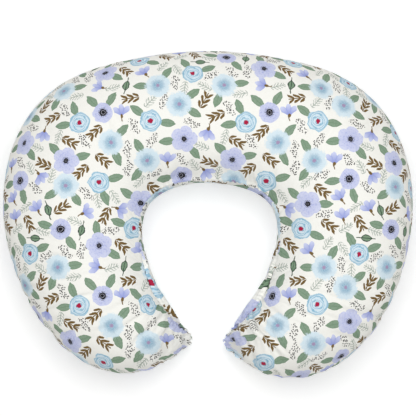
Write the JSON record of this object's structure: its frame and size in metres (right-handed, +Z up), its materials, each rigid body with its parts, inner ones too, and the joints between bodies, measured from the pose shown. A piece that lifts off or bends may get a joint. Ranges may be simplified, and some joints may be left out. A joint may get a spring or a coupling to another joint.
{
  "type": "nursing pillow",
  "caption": "C-shaped stuffed nursing pillow in a floral slipcover of two panels that closes with a coil zip along the back seam.",
  "frame": {"origin": "on the floor, under the middle of the pillow's overall width and depth", "axes": "+Z up; +X to the pillow's right, along its width; the arms open towards -Y and the back of the C is at +Y"},
  "size_m": [0.508, 0.4059, 0.14],
  "materials": {
    "printed_cover": "matte",
    "polyester_thread": "matte",
    "woven_label": "satin",
    "zip_tape": "matte",
    "nylon_coil": "satin",
    "zip_stop": "satin",
    "enamelled_zinc": "gloss",
    "casing_cloth": "matte",
    "polyester_fibre": "matte"
  },
  "bodies": {
    "pillow": {"cover_top_panel": "printed_cover", "cover_bottom_panel": "printed_cover", "cover_seam_overlock": "polyester_thread", "cover_care_label": "woven_label", "zip_tape_upper": "zip_tape", "zip_tape_lower": "zip_tape", "zip_coil_upper": "nylon_coil", "zip_coil_lower": "nylon_coil", "zip_top_stops": "zip_stop", "zip_bottom_stop": "zip_stop", "zip_stitching_upper": "polyester_thread", "zip_stitching_lower": "polyester_thread", "casing_top_panel": "casing_cloth", "casing_bottom_panel": "casing_cloth", "casing_seam_overlock": "polyester_thread", "casing_closing_stitches": "polyester_thread", "casing_label": "woven_label", "fibre_fill": "polyester_fibre"},
    "slider": {"zip_slider": "enamelled_zinc"},
    "pull_tab": {"zip_pull": "enamelled_zinc"}
  },
  "joints": [
    {"name": "slider_travel", "type": "hinge", "parent": "pillow", "child": "slider", "pos_m": [0, -0.252, 0.04784], "axis": [0, 0, 1], "range_deg": [0, 35.5]},
    {"name": "pull_tab_swing", "type": "hinge", "parent": "slider", "child": "pull_tab", "pos_m": [0.14091, 0.18207, 0.04675], "axis": [-0.0813, -0.2505, -0.9647], "range_deg": [0, 180]}
  ]
}
